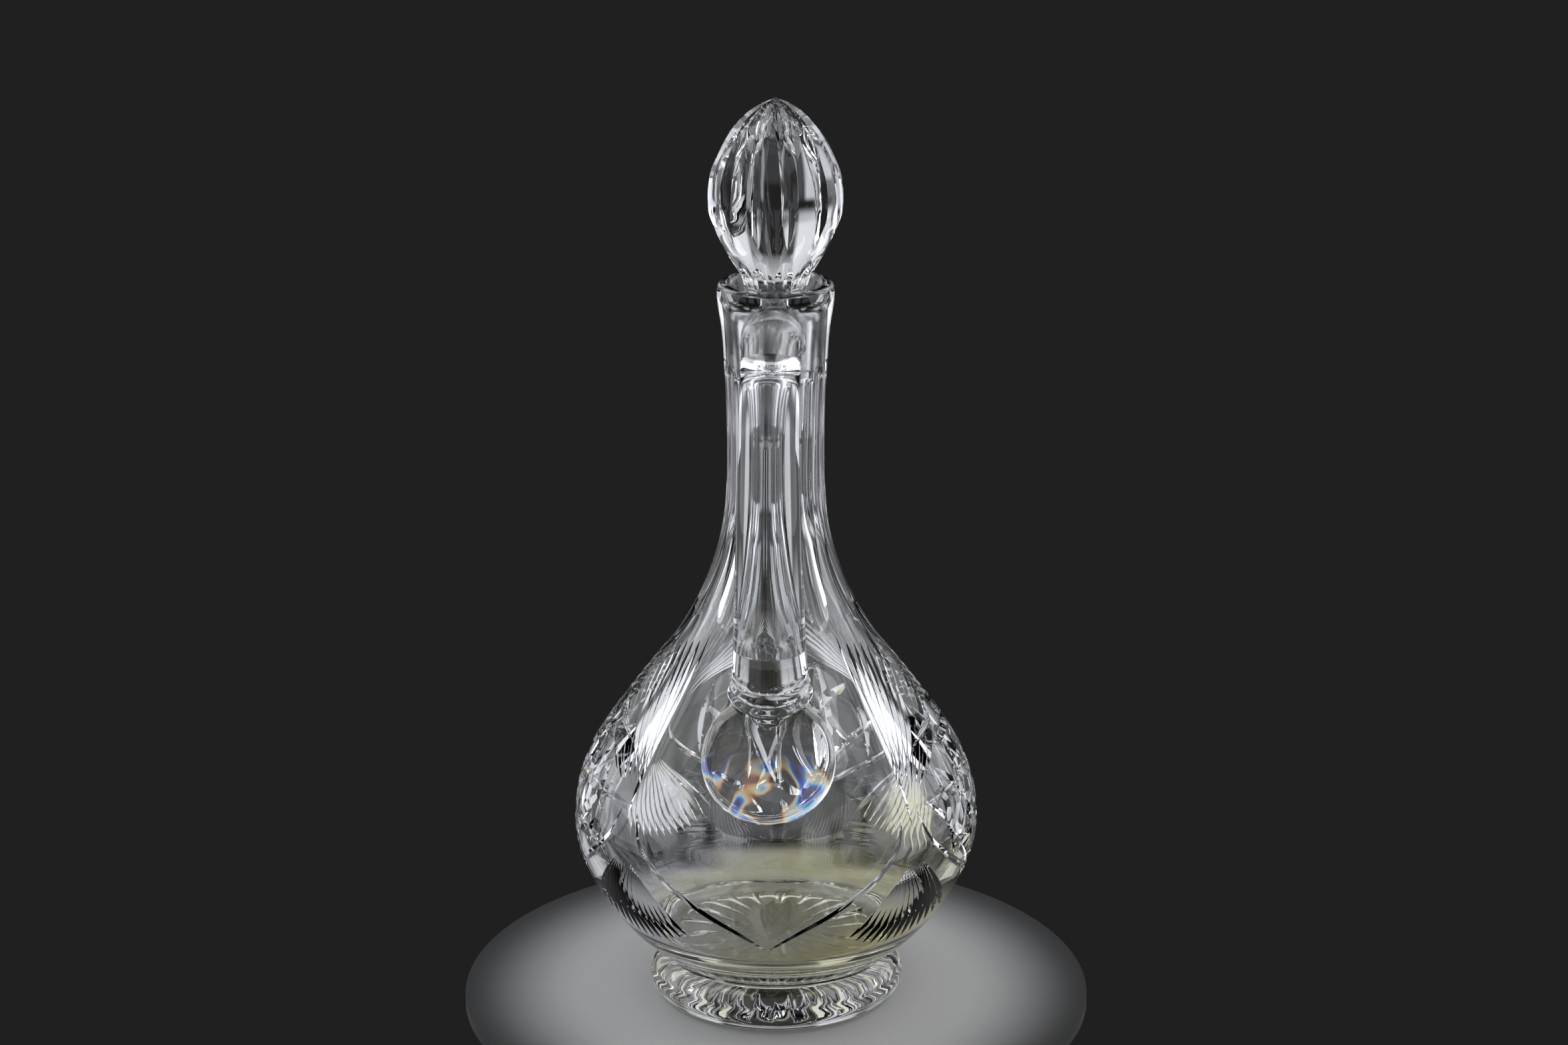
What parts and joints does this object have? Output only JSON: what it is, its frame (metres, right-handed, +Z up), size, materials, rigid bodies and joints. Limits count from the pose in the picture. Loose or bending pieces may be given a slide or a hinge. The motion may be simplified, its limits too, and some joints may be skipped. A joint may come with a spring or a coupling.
{
  "type": "carafe",
  "caption": "Cut glass carafe with a round bowl, slender fluted neck, solid rod handle, star-cut foot and a pointed ground-in stopper",
  "frame": {"origin": "on the vessel's axis, on the flat surface that the foot stands on", "axes": "+Z up along the vessel's axis, -Y towards the handle, +Y towards the pouring lip, +X to the right when the handle faces the viewer"},
  "size_m": [0.165, 0.165, 0.3765],
  "materials": {
    "vessel_glass": "polished",
    "foot_glass": "polished",
    "handle_glass": "polished",
    "stopper_glass": "polished"
  },
  "bodies": {
    "carafe": {"vessel": "vessel_glass", "foot": "foot_glass", "handle": "handle_glass"},
    "stopper": {"stopper": "stopper_glass"}
  },
  "joints": [
    {"name": "stopper_lift", "type": "slide", "parent": "carafe", "child": "stopper", "axis": [0, 0, 1], "range_m": [0, 0.075]}
  ]
}
